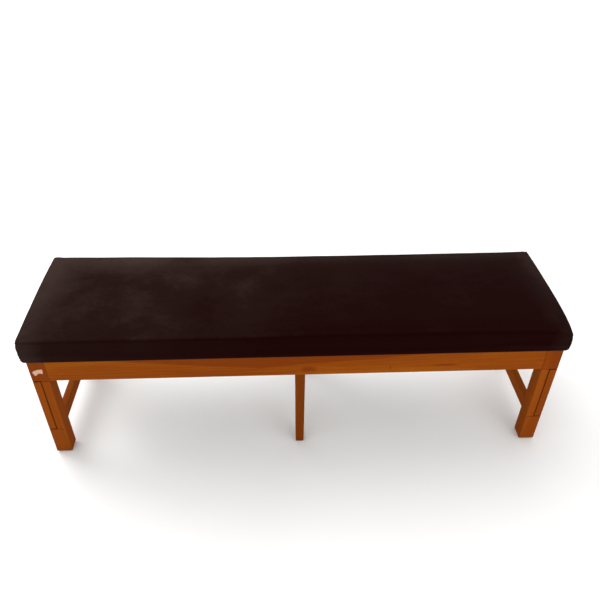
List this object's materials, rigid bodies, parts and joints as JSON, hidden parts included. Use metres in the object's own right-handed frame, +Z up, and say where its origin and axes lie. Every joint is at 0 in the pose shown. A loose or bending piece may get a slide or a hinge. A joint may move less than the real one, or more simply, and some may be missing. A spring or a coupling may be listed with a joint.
{
  "type": "bench",
  "caption": "Long low bench: one thick padded cloth seat on a wooden frame with square corner legs, slim middle legs, deep rails and low end rails.",
  "frame": {"origin": "on the floor, under the centre of the seat", "axes": "+X along the bench to its right end seen from the front, +Y to the back, +Z up"},
  "size_m": [1.5, 0.4, 0.453],
  "materials": {
    "cover_cloth": "dark brown short-pile cloth like suede, mottled nap",
    "foam": "cut polyurethane foam",
    "plywood": "bare plywood",
    "lining": "thin black non-woven lining",
    "staple_wire": "bright galvanised wire",
    "screw_steel": "zinc plated",
    "leg_wood": "red-brown stain under satin varnish",
    "rail_wood": "orange-brown stain under satin varnish",
    "plain_wood": "bare planed softwood",
    "dowel_wood": "bare beech",
    "felt": "pressed wool felt",
    "label_paper": "matt blank paper, torn edge"
  },
  "bodies": {
    "root": {"seat_cover": "cover_cloth", "seat_foam": "foam", "seat_board": "plywood", "dust_cover": "lining", "cover_staples": "staple_wire", "seat_screws": "screw_steel", "cross_rail": "plain_wood", "centre_leg_front": "leg_wood", "centre_leg_rear": "leg_wood", "block_screws": "screw_steel", "apron_dowels": "dowel_wood", "centre_dowels": "dowel_wood", "centre_leg_screws": "screw_steel", "floor_pads": "felt", "paper_label": "label_paper", "apron_front": "rail_wood", "leg_front_left": "leg_wood", "strip_front_left": "leg_wood", "block_front_left": "plain_wood", "leg_front_right": "leg_wood", "strip_front_right": "leg_wood", "block_front_right": "plain_wood", "apron_rear": "rail_wood", "leg_rear_left": "leg_wood", "strip_rear_left": "leg_wood", "block_rear_left": "plain_wood", "leg_rear_right": "leg_wood", "strip_rear_right": "leg_wood", "block_rear_right": "plain_wood", "apron_left": "rail_wood", "stretcher_left": "rail_wood", "apron_right": "rail_wood", "stretcher_right": "rail_wood"}
  },
  "joints": []
}
